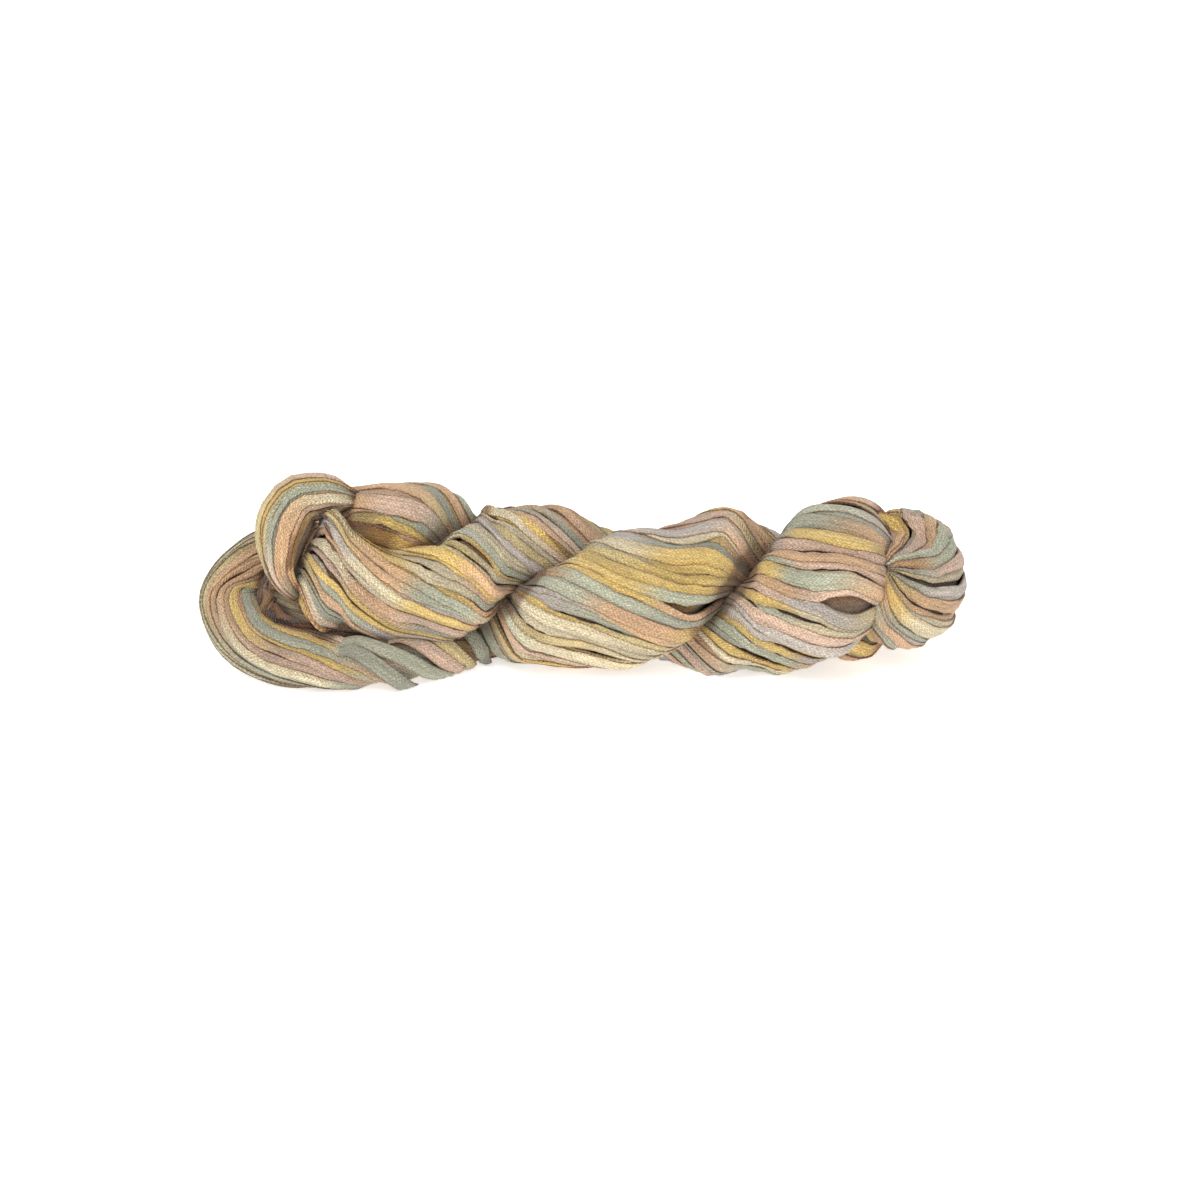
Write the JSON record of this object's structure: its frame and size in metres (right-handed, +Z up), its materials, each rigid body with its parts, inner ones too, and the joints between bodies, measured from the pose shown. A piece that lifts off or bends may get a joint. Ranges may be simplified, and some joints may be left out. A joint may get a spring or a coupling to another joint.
{
  "type": "skein of ribbon yarn",
  "caption": "Twisted hank of flat, space-dyed ribbon yarn lying on its side, its plies wrapped round each other, with a fanned fold at one end and a hooded open loop at the other.",
  "frame": {"origin": "centre of the skein's box, on the surface that it lies on", "axes": "+X along the skein towards its fanned fold, +Y away from the viewer of the picture, +Z up"},
  "size_m": [0.2885, 0.0679, 0.0784],
  "materials": {
    "ribbon_yarn": "matt knitted cotton-blend tape, space-dyed sage, gold, peach, pink-beige and lavender-grey"
  },
  "bodies": {
    "root": {"skein": "ribbon_yarn"}
  },
  "joints": []
}
